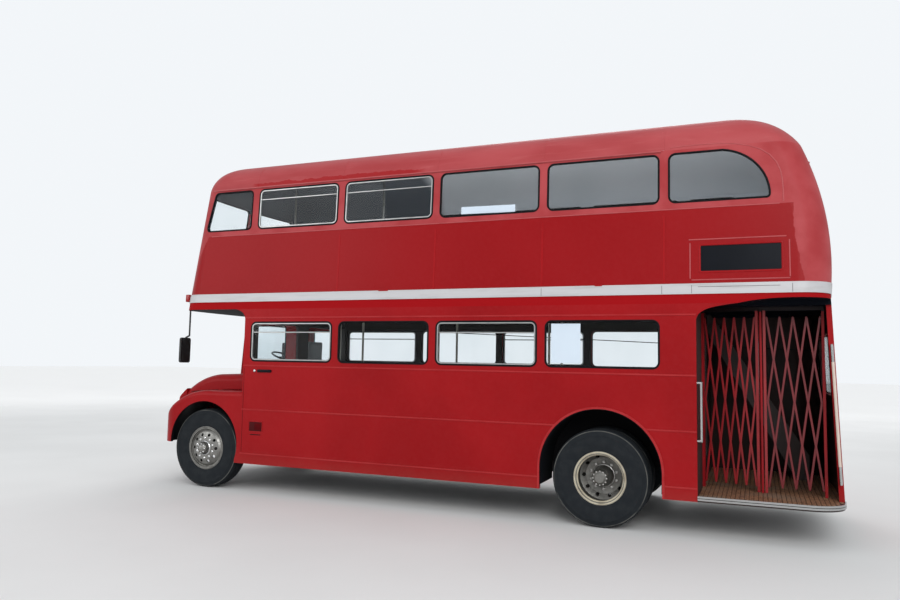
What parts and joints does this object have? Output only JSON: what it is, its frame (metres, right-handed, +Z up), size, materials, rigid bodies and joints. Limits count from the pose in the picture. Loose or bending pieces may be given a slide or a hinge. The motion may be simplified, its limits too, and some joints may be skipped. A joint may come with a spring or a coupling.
{
  "type": "double decker bus",
  "caption": "Half-cab rear-platform double decker bus with hollow saloons, staircase, platform gates, opening bonnet, cab and emergency doors, steered front wheels and twin rear wheels.",
  "frame": {"origin": "on the ground, midway between the radiator and the rear panel, on the centreline", "axes": "+X forward, +Y to the nearside (left), +Z up"},
  "size_m": [8.382, 2.506, 4.382],
  "materials": {
    "body_red": "glossy",
    "roof_red": "faded",
    "band_white": "satin",
    "frame_black": "matt",
    "axle_black": "matt",
    "tyre": "matt",
    "rim_silver": "satin",
    "glass": "clear",
    "sign_black": "glossy",
    "aluminium": "brushed",
    "chrome": "polished",
    "floor_wood": "worn",
    "lining": "satin",
    "seat_fabric": "woven",
    "gate_red": "glossy",
    "plastic_black": "matt"
  },
  "bodies": {
    "root": {"underframe": "frame_black", "cross_members": "frame_black", "engine_block": "frame_black", "gearbox_shafts_and_tank": "frame_black", "springs": "frame_black", "front_axle_beam": "axle_black", "rear_axle": "axle_black", "saloon_floor": "floor_wood", "platform": "floor_wood", "platform_brightwork": "aluminium", "lower_side_nearside": "body_red", "lower_side_offside": "body_red", "rear_lower_panel": "body_red", "front_bulkhead": "lining", "rear_bulkhead": "lining", "cab_shell": "body_red", "nose_panel": "body_red", "front_wings": "body_red", "radiator_grille": "aluminium", "headlamps": "chrome", "upper_deck_floor": "body_red", "waist_band": "band_white", "upper_side_nearside": "body_red", "upper_side_offside": "body_red", "upper_front": "body_red", "upper_rear": "body_red", "roof_front_dome": "roof_red", "roof_centre": "roof_red", "roof_rear_dome": "roof_red", "side_glass": "glass", "end_glass": "glass", "sign_boxes": "sign_black", "staircase": "lining", "seat_frames": "frame_black", "passenger_seats": "seat_fabric", "driver_seat": "seat_fabric", "steering_wheel": "plastic_black", "mirrors": "plastic_black", "gate_frame": "gate_red", "gate_lattice_front": "gate_red", "gate_lattice_rear": "gate_red"},
    "bonnet": {"bonnet": "body_red"},
    "cab_door": {"cab_door": "body_red", "cab_door_glass": "glass"},
    "emergency_door": {"emergency_door": "body_red", "emergency_glass": "glass"},
    "gate_post_front": {"gate_post_front": "gate_red"},
    "gate_post_rear": {"gate_post_rear": "gate_red"},
    "knuckle_nearside": {"front_knuckle_nearside": "axle_black"},
    "knuckle_offside": {"front_knuckle_offside": "axle_black"},
    "front_wheel_nearside": {"front_tyre_nearside": "tyre", "front_rim_nearside": "rim_silver"},
    "front_wheel_offside": {"front_tyre_offside": "tyre", "front_rim_offside": "rim_silver"},
    "rear_wheels_nearside": {"rear_tyres_nearside": "tyre", "rear_rims_nearside": "rim_silver"},
    "rear_wheels_offside": {"rear_tyres_offside": "tyre", "rear_rims_offside": "rim_silver"}
  },
  "joints": [
    {"name": "steer_nearside", "type": "hinge", "parent": "root", "child": "knuckle_nearside", "pos_m": [3.258, 0.86, 0.503], "axis": [0, 0, 1], "range_deg": [-30, 30]},
    {"name": "steer_offside", "type": "hinge", "parent": "root", "child": "knuckle_offside", "pos_m": [3.258, -0.86, 0.503], "axis": [0, 0, 1], "range_deg": [-30, 30]},
    {"name": "front_wheel_nearside_spin", "type": "hinge", "parent": "knuckle_nearside", "child": "front_wheel_nearside", "pos_m": [3.258, 1.03, 0.503], "axis": [0, 1, 0], "continuous": true},
    {"name": "front_wheel_offside_spin", "type": "hinge", "parent": "knuckle_offside", "child": "front_wheel_offside", "pos_m": [3.258, -1.03, 0.503], "axis": [0, 1, 0], "continuous": true},
    {"name": "rear_wheels_nearside_spin", "type": "hinge", "parent": "root", "child": "rear_wheels_nearside", "pos_m": [-1.873, 0.92, 0.503], "axis": [0, 1, 0], "continuous": true},
    {"name": "rear_wheels_offside_spin", "type": "hinge", "parent": "root", "child": "rear_wheels_offside", "pos_m": [-1.873, -0.92, 0.503], "axis": [0, 1, 0], "continuous": true},
    {"name": "bonnet_lift", "type": "hinge", "parent": "root", "child": "bonnet", "pos_m": [3.2, 0.03, 1.5], "axis": [1, 0, 0], "range_deg": [0, 55]},
    {"name": "cab_door_slide", "type": "slide", "parent": "root", "child": "cab_door", "axis": [-1, 0, 0], "range_m": [0, 0.57]},
    {"name": "emergency_door_swing", "type": "hinge", "parent": "root", "child": "emergency_door", "pos_m": [-3.93224, 0, 3.852], "axis": [0, 1, 0], "range_deg": [0, 80]},
    {"name": "gate_front_slide", "type": "slide", "parent": "root", "child": "gate_post_front", "axis": [0.9685, -0.249, 0], "range_m": [0, 0.36], "deforming": ["gate_lattice_front"]},
    {"name": "gate_rear_slide", "type": "slide", "parent": "root", "child": "gate_post_rear", "axis": [-0.9999, 0.0172, 0], "range_m": [0, 0.34], "deforming": ["gate_lattice_rear"]}
  ],
  "couplings": [
    {"joint": "steer_offside", "follows": "steer_nearside", "ratio": 1}
  ]
}
